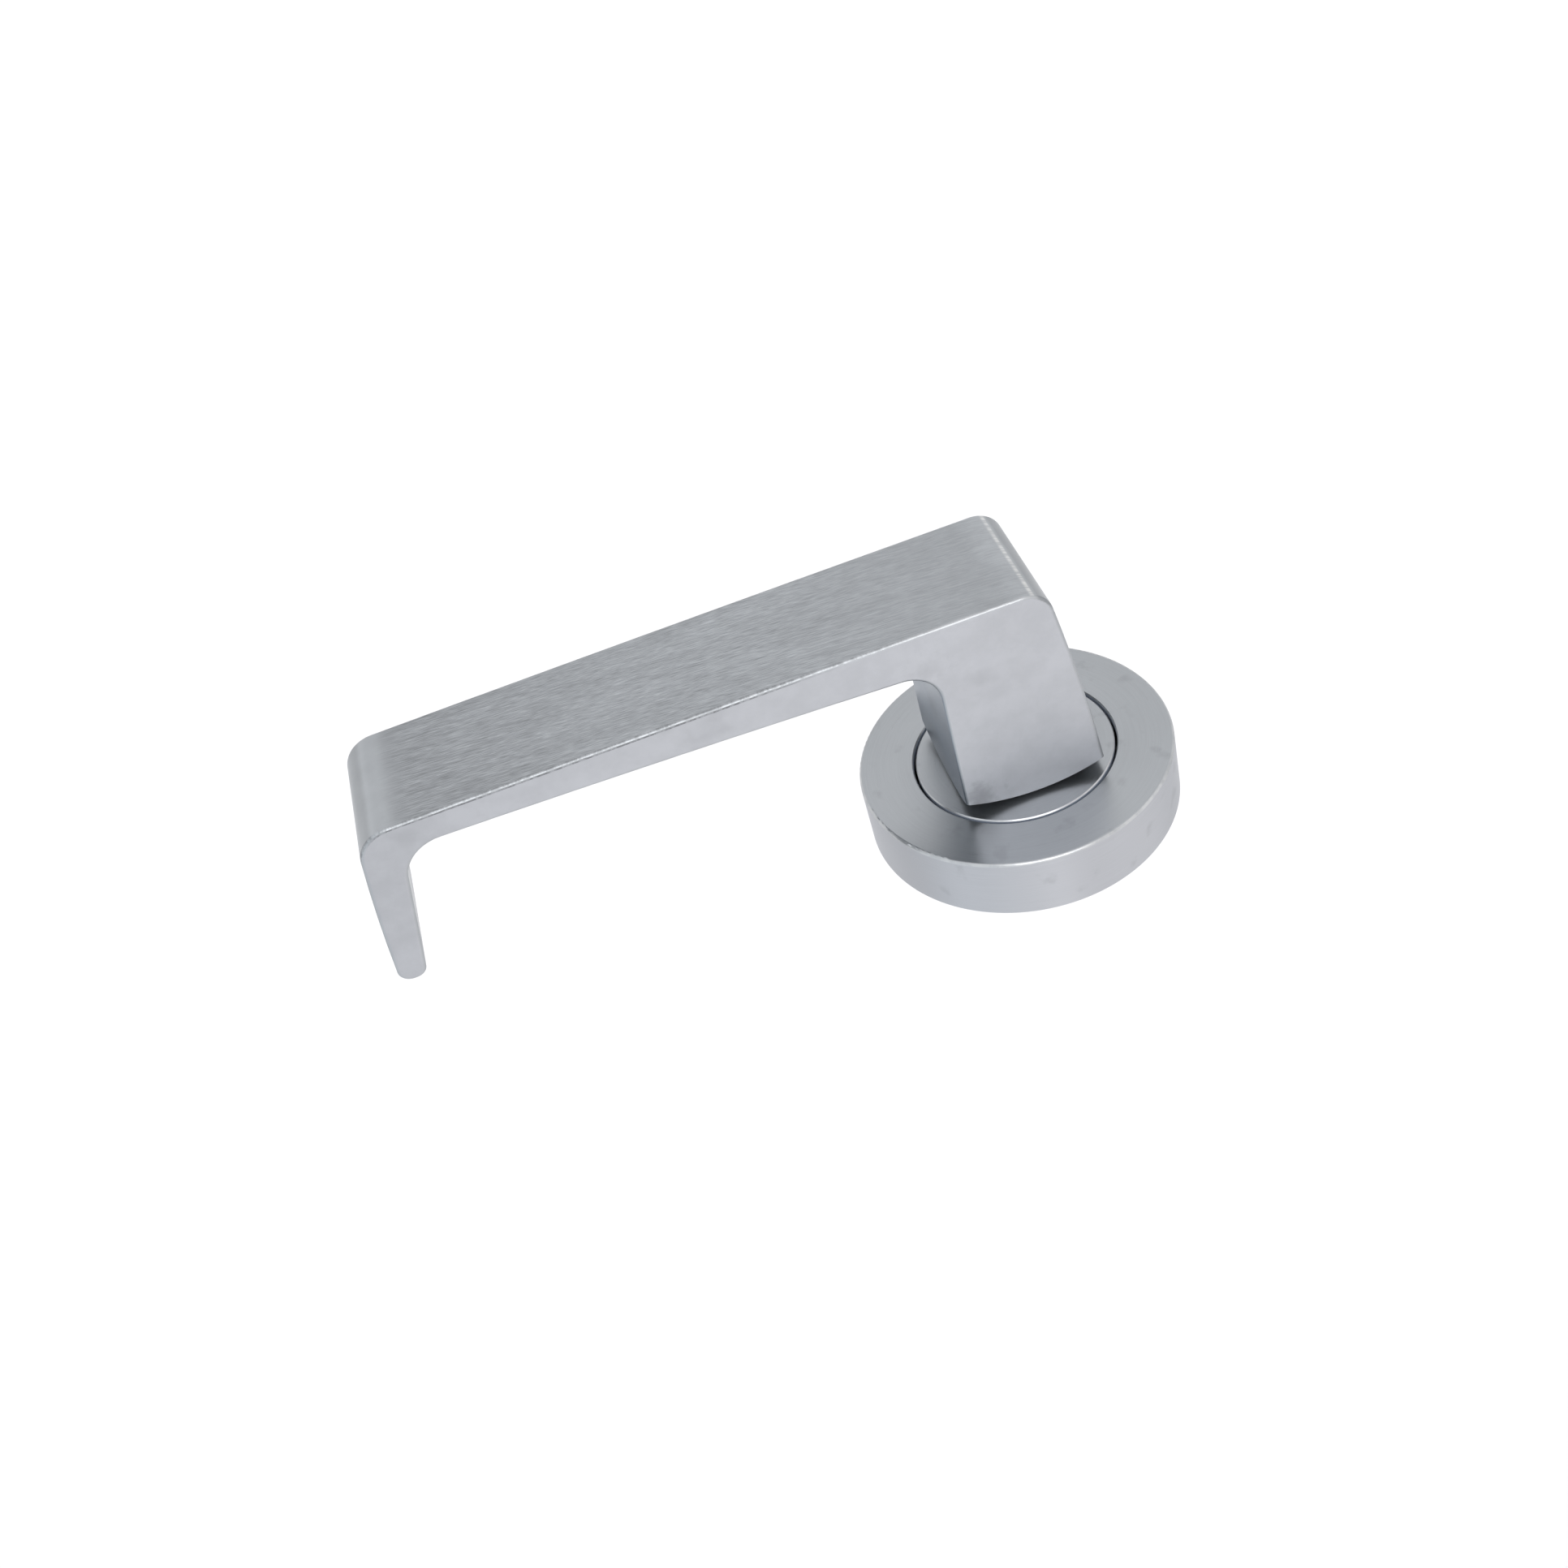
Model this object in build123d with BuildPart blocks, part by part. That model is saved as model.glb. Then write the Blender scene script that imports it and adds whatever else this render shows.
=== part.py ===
from build123d import *
import os
from math import cos, hypot, radians, sin, sqrt, tan

# A door lever handle on a round rose, drawn as it hangs on a door, in millimetres and degrees.
# The origin is on the spindle's axis at the door's face. +Z is up, the lever points along +X,
# and everything in front of the door lies towards -Y. Below, "out" is the distance from the
# door's face, so out = -y, and what reaches into the door has a negative out.

# Rose cover and the disc in its middle, which turns with the lever
rose_radius = 27.0
rose_depth = 11.6
rose_wall = 1.6
rose_face = 1.5
rose_edge_round = 0.6
disc_radius = 17.05
disc_thickness = 1.0
disc_groove = 0.45
groove_bevel = 0.2

# Lever, in its side view: x along the lever, out from the door
lever_reach = 108.6
lever_projection = 52.4
front_fall = 0.9
front_bow = 0.17
bar_thickness_neck = 8.3
bar_thickness_tip = 5.05
underside_bow = 0.33
neck_back_top = 6.8
neck_back_base = 12.25
neck_back_bow = 0.55
neck_inner_top = 12.45
neck_inner_base = 12.3
return_depth = 31.45
return_lean = 4.6
return_bow = 0.35
return_root_thickness = 5.8
return_tip_thickness = 4.55
neck_outer_round = 4.9
neck_inner_round = 6.0
tip_outer_round = 6.0
tip_inner_round = 7.4
return_end_round = 2.1
lever_width_neck = 24.2
lever_width_tip = 23.8
lever_edge_round = 0.6

# Underside of the neck: a shallow dome that meets the disc round the shank
dome_radius = 38.0
dome_start = 10.55
shoulder_step = 0.4

# Shank under the neck: front journal, flats for the drive hub, rear journal, clip groove
shank_radius = 9.0
shank_flat = 8.0
journal_radius = 7.8
clip_groove_radius = 7.1
shank_tail = 3.2
running_clearance = 0.03

# Square spindle, its socket and the screw that holds it
spindle_side = 8.0
spindle_corner = 0.4
spindle_into_door = 18.0
spindle_into_neck = 30.0
socket_clearance = 0.1
socket_end_gap = 1.0
grub_radius = 2.5
grub_thread_clearance = 0.05
grub_out = 20.0
grub_length = 6.6
grub_key_across_flats = 2.5
grub_key_depth = 2.4

# Mounting plate
gasket_thickness = 0.6
gasket_bore_radius = 12.5
plate_thickness = 2.2
plate_rim_gap = 0.5
plate_edge_bevel = 0.3
rib_thickness = 1.2
rib_height = 2.2
rib_count = 8
housing_wall = 1.4

# Snap ring that holds the cover on the plate
snap_wire_radius = 0.55
snap_bead = 0.2
snap_play = 0.1
snap_gap_angle = 24.0

# Fixing posts, two in line with the lever, tapped for bolts from the other side of the door
post_pitch = 38.0
post_radius = 3.2
post_length = 10.0
post_thread_radius = 2.0
post_spigot_radius = 2.2
post_head_radius = 2.6
post_head_height = 0.6
post_head_clearance = 0.1
post_bore_end_out = 0.1
post_drill_depth = 1.0
post_drill_taper = 55.0
post_hole_clearance = 0.2

# Lid of the spring housing and its screws
lid_thickness = 1.2
lid_screw_count = 4
lid_screw_radius = 1.25
lid_screw_head_radius = 2.3
lid_screw_length = 5.9
lid_screw_head_taper = 45.0
lid_screw_cross_depth = 0.7
lid_screw_cross_width = 0.5
lid_screw_cross_span = 2.6
lid_hole_clearance = 0.1
boss_radius = 2.7
boss_floor = 0.4
boss_gap = 0.1

# Bushes and washers on the shank
front_bush_wall = 1.4
front_bush_flange = 2.1
front_bush_flange_thickness = 0.35
rear_bush_wall = 1.4
rear_bush_flange = 1.4
hub_washer_thickness = 0.25
hub_washer_clearance = 0.07
spring_washer_thickness = 0.3
spring_washer_height = 0.5
spring_washer_width = 2.3
circlip_thickness = 1.0
circlip_width = 2.3
circlip_gap = 5.0
circlip_lug_radius = 1.3
circlip_lug_hole = 0.6
groove_play = 0.1
face_gap = 0.15

# Drive hub with two stop tongues, which swing in windows of the housing
turn_angle = 45.0
tongue_angle = 30.0
tongue_setback = 0.3
hub_wall = 1.9
hub_flange_gap = 0.5
hub_lid_gap = 0.22
hub_flange_thickness = 1.2
stop_clearance_angle = 0.6
buffer_angle = 3.0
window_depth_clearance = 0.2

# Return spring round the hub
spring_wire_radius = 0.7
spring_hub_gap = 0.8
spring_housing_gap = 1.7
spring_turns = 2.0
spring_floor_gap = 0.15
spring_leg_clearance = 0.05
spring_leg_in_plate = 1.4
spring_leg_angle = -90.0

# O-ring in a groove of the shank, which grips the disc
disc_ring_wire_radius = 0.35
disc_bore_clearance = 0.1

# Places worked out from the sizes above, as distances out from the door
plate_back = gasket_thickness
plate_front = plate_back + plate_thickness
lid_front = rose_depth - rose_face
lid_back = lid_front - lid_thickness
disc_back = rose_depth - disc_thickness
hub_back = plate_front + hub_washer_thickness + face_gap
hub_front = lid_back - hub_lid_gap
hub_flange_back = hub_front - hub_flange_thickness
clip_front = -face_gap - spring_washer_height
clip_back = clip_front - circlip_thickness
cover_bore_radius = rose_radius - rose_wall
plate_radius = cover_bore_radius - plate_rim_gap
hub_outer_radius = shank_radius + hub_wall
spring_mean_radius = hub_outer_radius + spring_hub_gap + spring_wire_radius
housing_radius = spring_mean_radius + spring_wire_radius + spring_housing_gap
housing_outer_radius = housing_radius + housing_wall
hub_flange_radius = housing_radius - hub_flange_gap
tongue_radius = housing_outer_radius - tongue_setback
lid_screw_pitch_radius = housing_outer_radius + boss_gap + boss_radius
lid_screw_head_depth = (lid_screw_head_radius - lid_screw_radius) / tan(radians(lid_screw_head_taper))
snap_centre_radius = cover_bore_radius + snap_bead - snap_wire_radius
snap_out = plate_back + plate_thickness / 2
snap_groove_half = snap_wire_radius + snap_play
front_bush_outer = shank_radius + running_clearance + front_bush_wall
rear_bush_outer = journal_radius + running_clearance + rear_bush_wall
socket_side = spindle_side + 2 * socket_clearance
spring_first = plate_front + spring_floor_gap + spring_wire_radius
spring_last = hub_flange_back - spring_floor_gap - spring_wire_radius
disc_bore_radius = shank_radius + disc_bore_clearance
disc_ring_groove_radius = disc_bore_radius - 2 * disc_ring_wire_radius
disc_ring_out = (disc_back + rose_depth) / 2
cut_margin = 1.0

# FACE is seen from the front and counts outwards. SIDE is the lever's side view: (x, out).
FACE = Plane(origin=(0, 0, 0), x_dir=(1, 0, 0), z_dir=(0, -1, 0))
SIDE = Plane(origin=(0, 0, 0), x_dir=(1, 0, 0), z_dir=(0, 0, -1))
os.makedirs("parts", exist_ok=True)


def save(builder, name):
    """Label a finished piece and write it under its own name."""
    builder.part.label = name
    export_step(builder.part, f"parts/{name}.step")


def disc(radius, out_from, out_to, mode=Mode.ADD):
    """Round plate on the spindle's axis between two distances from the door."""
    with BuildSketch(FACE.offset(out_from)) as outline:
        Circle(radius)
    extrude(outline.sketch, amount=out_to - out_from, mode=mode)


def ring(outer_radius, inner_radius, out_from, out_to, mode=Mode.ADD):
    """Round ring on the spindle's axis between two distances from the door."""
    with BuildSketch(FACE.offset(out_from)) as outline:
        Circle(outer_radius)
        Circle(inner_radius, mode=Mode.SUBTRACT)
    extrude(outline.sketch, amount=out_to - out_from, mode=mode)


def sector(outer_radius, inner_radius, angle_from, angle_to):
    """Sketch a piece of a ring, with angles counted from the lever towards the top."""
    def at(radius, angle):
        return radius * cos(radians(angle)), radius * sin(radians(angle))

    middle = (angle_from + angle_to) / 2
    with BuildLine() as outline:
        Line(at(inner_radius, angle_from), at(outer_radius, angle_from))
        ThreePointArc(at(outer_radius, angle_from), at(outer_radius, middle), at(outer_radius, angle_to))
        Line(at(outer_radius, angle_to), at(inner_radius, angle_to))
        ThreePointArc(at(inner_radius, angle_to), at(inner_radius, middle), at(inner_radius, angle_from))
    make_face(outline.line)


def bowed(start, end, bow):
    """Arc from start to end that stands bow off its chord, to the right of travel."""
    run, rise = end[0] - start[0], end[1] - start[1]
    length = hypot(run, rise)
    middle = (
        (start[0] + end[0]) / 2 + bow * rise / length,
        (start[1] + end[1]) / 2 - bow * run / length,
    )
    ThreePointArc(start, middle, end)


def lid_screw_places():
    """Places of the lid's screws, halfway between the fixing posts and the tongues."""
    return PolarLocations(lid_screw_pitch_radius, lid_screw_count, 180 / lid_screw_count)


def post_places():
    """Places of the two fixing posts, either side of the spindle."""
    return GridLocations(post_pitch, 1, 2, 1)


def dome_out(radius):
    """Distance out of the neck's domed underside at a distance from the spindle's axis."""
    return dome_start + dome_radius - sqrt(dome_radius**2 - radius**2)


def spring_leg_place(radius):
    """Centre of a spring leg in the FACE view."""
    return radius * cos(radians(spring_leg_angle)), radius * sin(radians(spring_leg_angle))


# The tongues' swing, seen from the front: the lever goes down, so they turn clockwise
tongue_rest_start = 90 + turn_angle / 2 - tongue_angle / 2
tongue_rest_end = tongue_rest_start + tongue_angle
swing_start = tongue_rest_start - turn_angle - stop_clearance_angle
swing_end = tongue_rest_end + stop_clearance_angle
window_start = swing_start - buffer_angle
window_end = swing_end + buffer_angle

# ---------------------------------------------------------------- fixed pieces

with BuildPart() as rose_cover:
    disc(rose_radius, 0, rose_depth)
    disc(cover_bore_radius, 0, lid_front, mode=Mode.SUBTRACT)
    disc(disc_radius + disc_groove, lid_front, rose_depth, mode=Mode.SUBTRACT)
    front_edges = rose_cover.faces().sort_by(Axis.Y)[0].edges().sort_by(SortBy.LENGTH)
    fillet(front_edges[-1], rose_edge_round)
    chamfer(front_edges[0], groove_bevel)
    ring(
        cover_bore_radius + snap_bead,
        cover_bore_radius - snap_bead,
        snap_out - snap_groove_half,
        snap_out + snap_groove_half,
        mode=Mode.SUBTRACT,
    )
save(rose_cover, "rose_cover")

with BuildPart() as mounting_plate:
    disc(plate_radius, plate_back, plate_front)
    chamfer(mounting_plate.edges().filter_by(GeomType.CIRCLE), plate_edge_bevel)
    ring(housing_outer_radius, housing_radius, plate_front, lid_back)
    with BuildSketch(FACE.offset(plate_front)):
        with lid_screw_places():
            Circle(boss_radius)
    extrude(amount=lid_back - plate_front)
    with BuildSketch(FACE.offset(plate_front)):
        rib_run = plate_radius - plate_edge_bevel - housing_outer_radius
        with PolarLocations(housing_outer_radius + rib_run / 2, rib_count, 180 / rib_count):
            Rectangle(rib_run + rib_thickness / 2, rib_thickness)
    extrude(amount=rib_height)
    ring(
        plate_radius + cut_margin,
        plate_radius - plate_edge_bevel,
        plate_front,
        lid_back,
        mode=Mode.SUBTRACT,
    )
    disc(rear_bush_outer, plate_back, plate_front, mode=Mode.SUBTRACT)
    with BuildSketch(FACE.offset(plate_front + boss_floor)):
        with lid_screw_places():
            Circle(lid_screw_radius)
    extrude(amount=lid_back - plate_front - boss_floor, mode=Mode.SUBTRACT)
    with BuildSketch(FACE.offset(plate_back)):
        with post_places():
            Circle(post_spigot_radius)
    extrude(amount=plate_thickness, mode=Mode.SUBTRACT)
    with BuildSketch(FACE.offset(plate_front)):
        with post_places():
            Circle(post_head_radius + post_head_clearance)
    extrude(amount=post_head_height + post_head_clearance, mode=Mode.SUBTRACT)
    with BuildSketch(FACE.offset(plate_front)):
        with Locations(spring_leg_place(spring_mean_radius)):
            Circle(spring_wire_radius + spring_leg_clearance)
    extrude(amount=-spring_leg_in_plate - spring_leg_clearance, mode=Mode.SUBTRACT)
    with BuildSketch(FACE.offset(hub_flange_back - window_depth_clearance)):
        for half_turn in (0, 180):
            sector(
                housing_outer_radius + face_gap,
                housing_radius - face_gap,
                window_start + half_turn,
                window_end + half_turn,
            )
    extrude(amount=lid_back - hub_flange_back + window_depth_clearance, mode=Mode.SUBTRACT)
    ring(
        plate_radius + cut_margin,
        snap_centre_radius - snap_groove_half,
        snap_out - snap_groove_half,
        snap_out + snap_groove_half,
        mode=Mode.SUBTRACT,
    )
save(mounting_plate, "mounting_plate")

with BuildPart() as back_gasket:
    with BuildSketch(FACE):
        Circle(plate_radius - plate_edge_bevel)
        Circle(gasket_bore_radius, mode=Mode.SUBTRACT)
        with post_places():
            Circle(post_radius + post_hole_clearance, mode=Mode.SUBTRACT)
    extrude(amount=gasket_thickness)
save(back_gasket, "back_gasket")

with BuildPart() as fixing_posts:
    with BuildSketch(FACE.offset(plate_back - post_length)):
        with post_places():
            Circle(post_radius)
    extrude(amount=post_length)
    with BuildSketch(FACE.offset(plate_back)):
        with post_places():
            Circle(post_spigot_radius)
    extrude(amount=plate_thickness)
    with BuildSketch(FACE.offset(plate_front)):
        with post_places():
            Circle(post_head_radius)
    extrude(amount=post_head_height)
    with BuildSketch(FACE.offset(plate_back - post_length)):
        with post_places():
            Circle(post_thread_radius)
    extrude(amount=post_bore_end_out - plate_back + post_length, mode=Mode.SUBTRACT)
    with BuildSketch(FACE.offset(post_bore_end_out)):
        with post_places():
            Circle(post_thread_radius)
    extrude(amount=post_drill_depth, taper=post_drill_taper, mode=Mode.SUBTRACT)
    mouth_edges = fixing_posts.faces().filter_by(Axis.Y).group_by(Axis.Y)[-1].edges()
    chamfer(mouth_edges, plate_edge_bevel)
save(fixing_posts, "fixing_posts")

with BuildPart() as snap_ring:
    with BuildSketch(SIDE):
        with Locations((snap_centre_radius, snap_out)):
            Circle(snap_wire_radius)
    revolve(axis=Axis.Y, revolution_arc=360 - snap_gap_angle)
save(snap_ring, "snap_ring")

with BuildPart() as rear_bush:
    ring(rear_bush_outer, journal_radius + running_clearance, 0, plate_front)
    ring(rear_bush_outer + rear_bush_flange, journal_radius + running_clearance, 0, plate_back)
save(rear_bush, "rear_bush")

with BuildPart() as hub_washer:
    ring(
        hub_outer_radius,
        journal_radius + hub_washer_clearance,
        plate_front,
        plate_front + hub_washer_thickness,
    )
save(hub_washer, "hub_washer")

with BuildPart() as housing_lid:
    with BuildSketch(FACE.offset(lid_back)):
        Circle(housing_outer_radius)
        with lid_screw_places():
            Circle(boss_radius)
        with PolarLocations(lid_screw_pitch_radius / 2, lid_screw_count, 180 / lid_screw_count):
            Rectangle(lid_screw_pitch_radius, 2 * boss_radius)
        Circle(front_bush_outer, mode=Mode.SUBTRACT)
    extrude(amount=lid_thickness)
    with BuildSketch(FACE.offset(lid_back)):
        with lid_screw_places():
            Circle(lid_screw_radius + lid_hole_clearance)
    extrude(amount=lid_thickness, mode=Mode.SUBTRACT)
    with BuildSketch(FACE.offset(lid_front)):
        with lid_screw_places():
            Circle(lid_screw_head_radius)
    extrude(amount=-lid_screw_head_depth, taper=lid_screw_head_taper, mode=Mode.SUBTRACT)
save(housing_lid, "housing_lid")

with BuildPart() as lid_screws:
    with BuildSketch(FACE.offset(lid_front - lid_screw_length)):
        with lid_screw_places():
            Circle(lid_screw_radius)
    extrude(amount=lid_screw_length)
    with BuildSketch(FACE.offset(lid_front)):
        with lid_screw_places():
            Circle(lid_screw_head_radius)
    extrude(amount=-lid_screw_head_depth, taper=lid_screw_head_taper)
    with BuildSketch(FACE.offset(lid_front)):
        with lid_screw_places():
            Rectangle(lid_screw_cross_span, lid_screw_cross_width)
            Rectangle(lid_screw_cross_width, lid_screw_cross_span)
    extrude(amount=-lid_screw_cross_depth, mode=Mode.SUBTRACT)
save(lid_screws, "lid_screws")

with BuildPart() as front_bush:
    ring(front_bush_outer, shank_radius + running_clearance, lid_back, lid_front)
    ring(
        front_bush_outer + front_bush_flange,
        shank_radius + running_clearance,
        lid_front,
        lid_front + front_bush_flange_thickness,
    )
save(front_bush, "front_bush")

with BuildPart() as stop_buffers:
    with BuildSketch(FACE.offset(hub_flange_back)):
        for half_turn in (0, 180):
            for angle in (window_start, swing_end):
                sector(
                    housing_outer_radius,
                    housing_radius,
                    angle + half_turn,
                    angle + buffer_angle + half_turn,
                )
    extrude(amount=lid_back - hub_flange_back)
save(stop_buffers, "stop_buffers")

spring_pitch = (spring_last - spring_first) / spring_turns
coil = Helix(
    pitch=spring_pitch,
    height=spring_last - spring_first,
    radius=spring_mean_radius,
    center=(0, -spring_first, 0),
    direction=(0, -1, 0),
    lefthand=True,
)
with BuildPart() as return_spring:
    with BuildSketch(Plane(origin=coil @ 0, z_dir=coil % 0)):
        Circle(spring_wire_radius)
    sweep(path=coil, is_frenet=True)
    for place, end in ((coil @ 0, plate_front - spring_leg_in_plate), (coil @ 1, hub_front)):
        with Locations(place):
            Sphere(spring_wire_radius)
        with BuildSketch(FACE.offset(-place.Y)):
            with Locations((place.X, place.Z)):
                Circle(spring_wire_radius)
        extrude(amount=end + place.Y)
save(return_spring, "return_spring")

# --------------------------------------------------- pieces that turn with the lever

front_at_tip = lever_projection - front_fall
return_top_x = lever_reach - return_lean
return_end_out = front_at_tip - return_depth
inner_tip_corner = (return_top_x - return_root_thickness, front_at_tip - bar_thickness_tip)
inner_neck_corner = (neck_inner_top, lever_projection - bar_thickness_neck)
outer_neck_corner = (-neck_back_top, lever_projection)
outer_tip_corner = (return_top_x, front_at_tip)
return_end_outer = (lever_reach, return_end_out)
return_end_inner = (lever_reach - return_tip_thickness, return_end_out)
neck_base_inner = (neck_inner_base, rose_depth)
neck_base_back = (-neck_back_base, rose_depth)
side_taper = (lever_width_neck - lever_width_tip) / 2 / (lever_reach + neck_back_base)

with BuildPart() as lever_handle:
    with BuildSketch(SIDE) as side_view:
        with BuildLine():
            Line(neck_base_back, neck_base_inner)
            Line(neck_base_inner, inner_neck_corner)
            bowed(inner_neck_corner, inner_tip_corner, -underside_bow)
            Line(inner_tip_corner, return_end_inner)
            Line(return_end_inner, return_end_outer)
            bowed(return_end_outer, outer_tip_corner, return_bow)
            bowed(outer_tip_corner, outer_neck_corner, front_bow)
            bowed(outer_neck_corner, neck_base_back, neck_back_bow)
        make_face()
        for corner, round_radius in (
            (inner_neck_corner, neck_inner_round),
            (inner_tip_corner, tip_inner_round),
            (outer_tip_corner, tip_outer_round),
            (outer_neck_corner, neck_outer_round),
            (return_end_inner, return_end_round),
            (return_end_outer, return_end_round),
        ):
            fillet(side_view.vertices().sort_by_distance((*corner, 0))[0], round_radius)
    extrude(amount=lever_width_neck / 2, both=True)
    for up in (1, -1):
        side_plane = Plane(
            origin=(-neck_back_base, 0, up * lever_width_neck / 2), z_dir=(side_taper, 0, up)
        )
        split(bisect_by=side_plane, keep=Keep.BOTTOM)
    side_faces = lever_handle.faces().sort_by(Axis.Z)[:1] + lever_handle.faces().sort_by(Axis.Z)[-1:]
    fillet(side_faces.edges(), lever_edge_round)
    with BuildSketch(SIDE):
        with BuildLine():
            shoulder_radius = shank_radius + shoulder_step
            rim_radius = neck_back_base + lever_width_neck / 2
            middle_radius = (shoulder_radius + rim_radius) / 2
            shoulder = (shoulder_radius, dome_out(shoulder_radius))
            rim = (rim_radius, dome_out(rim_radius))
            Polyline(shoulder, (shoulder_radius, 0), (rim_radius, 0), rim)
            ThreePointArc(shoulder, (middle_radius, dome_out(middle_radius)), rim)
        make_face()
    revolve(axis=Axis.Y, mode=Mode.SUBTRACT)
    disc(shank_radius, hub_front, rose_depth)
    with BuildSketch(FACE.offset(hub_back)):
        Circle(shank_radius)
        Rectangle(2 * shank_radius, 2 * shank_flat, mode=Mode.INTERSECT)
    extrude(amount=hub_front - hub_back)
    disc(journal_radius, -shank_tail, hub_back)
    ring(
        journal_radius + cut_margin,
        clip_groove_radius,
        clip_back - groove_play,
        clip_front,
        mode=Mode.SUBTRACT,
    )
    with BuildSketch(FACE.offset(-shank_tail)):
        Rectangle(socket_side, socket_side)
    extrude(amount=shank_tail + spindle_into_neck + socket_end_gap, mode=Mode.SUBTRACT)
    with BuildSketch(Plane(origin=(0, -grub_out, 0), z_dir=(0, 0, -1))):
        Circle(grub_radius)
    extrude(amount=lever_width_neck / 2, mode=Mode.SUBTRACT)
    ring(
        shank_radius + cut_margin,
        disc_ring_groove_radius,
        disc_ring_out - disc_ring_wire_radius,
        disc_ring_out + disc_ring_wire_radius,
        mode=Mode.SUBTRACT,
    )
    tail_face = lever_handle.faces().filter_by(Axis.Y).sort_by(Axis.Y)[-1]
    chamfer(tail_face.edges().filter_by(GeomType.CIRCLE), plate_edge_bevel)
save(lever_handle, "lever_handle")

with BuildPart() as centre_disc:
    ring(disc_radius, disc_bore_radius, disc_back, rose_depth)
    disc_front = centre_disc.faces().sort_by(Axis.Y)[0]
    chamfer(disc_front.edges().sort_by(SortBy.LENGTH)[-1], groove_bevel)
save(centre_disc, "centre_disc")

with BuildPart() as disc_ring:
    with BuildSketch(SIDE):
        with Locations((disc_ring_groove_radius + disc_ring_wire_radius, disc_ring_out)):
            Circle(disc_ring_wire_radius)
    revolve(axis=Axis.Y)
save(disc_ring, "disc_ring")

with BuildPart() as drive_hub:
    disc(hub_outer_radius, hub_back, hub_front)
    disc(hub_flange_radius, hub_flange_back, hub_front)
    with BuildSketch(FACE.offset(hub_flange_back)):
        for half_turn in (0, 180):
            sector(
                tongue_radius,
                hub_outer_radius,
                tongue_rest_start + half_turn,
                tongue_rest_end + half_turn,
            )
    extrude(amount=hub_flange_thickness)
    with BuildSketch(FACE.offset(hub_back)):
        Circle(shank_radius)
        Rectangle(2 * shank_radius, 2 * shank_flat, mode=Mode.INTERSECT)
    extrude(amount=hub_front - hub_back, mode=Mode.SUBTRACT)
    with BuildSketch(FACE.offset(hub_flange_back)):
        with Locations(spring_leg_place(spring_mean_radius)):
            Circle(spring_wire_radius + spring_leg_clearance)
    extrude(amount=hub_flange_thickness, mode=Mode.SUBTRACT)
save(drive_hub, "drive_hub")

with BuildPart() as spring_washer:
    inner_radius = journal_radius + hub_washer_clearance
    with BuildSketch(SIDE):
        with BuildLine():
            Polyline(
                (inner_radius, clip_front),
                (inner_radius, clip_front + spring_washer_thickness),
                (inner_radius + spring_washer_width, -face_gap),
                (inner_radius + spring_washer_width, -face_gap - spring_washer_thickness),
                close=True,
            )
        make_face()
    revolve(axis=Axis.Y)
save(spring_washer, "spring_washer")

with BuildPart() as circlip:
    outer_radius = clip_groove_radius + circlip_width
    with BuildSketch(FACE.offset(clip_back)):
        Circle(outer_radius)
        Circle(clip_groove_radius, mode=Mode.SUBTRACT)
        with Locations((0, -outer_radius)):
            Rectangle(circlip_gap, 2 * outer_radius, mode=Mode.SUBTRACT)
        lug_radius = outer_radius - circlip_lug_radius / 2
        lug_x = circlip_gap / 2 + circlip_lug_radius
        with Locations(*[(side * lug_x, -sqrt(lug_radius**2 - lug_x**2)) for side in (-1, 1)]):
            Circle(circlip_lug_radius)
            Circle(circlip_lug_hole, mode=Mode.SUBTRACT)
    extrude(amount=circlip_thickness)
save(circlip, "circlip")

with BuildPart() as grub_screw:
    with BuildSketch(Plane(origin=(0, -grub_out, -spindle_side / 2), z_dir=(0, 0, -1))):
        Circle(grub_radius - grub_thread_clearance)
    extrude(amount=grub_length)
    chamfer(grub_screw.edges().filter_by(GeomType.CIRCLE), plate_edge_bevel)
    with BuildSketch(Plane(origin=(0, -grub_out, -spindle_side / 2 - grub_length), z_dir=(0, 0, -1))):
        RegularPolygon(grub_key_across_flats / 2, 6, major_radius=False)
    extrude(amount=-grub_key_depth, mode=Mode.SUBTRACT)
save(grub_screw, "grub_screw")

with BuildPart() as spindle:
    with BuildSketch(FACE.offset(-spindle_into_door)):
        Rectangle(spindle_side, spindle_side)
    extrude(amount=spindle_into_door + spindle_into_neck)
    chamfer(spindle.edges(), spindle_corner)
save(spindle, "spindle")
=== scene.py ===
import math
import bmesh
import bpy
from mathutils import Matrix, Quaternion, Vector


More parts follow.
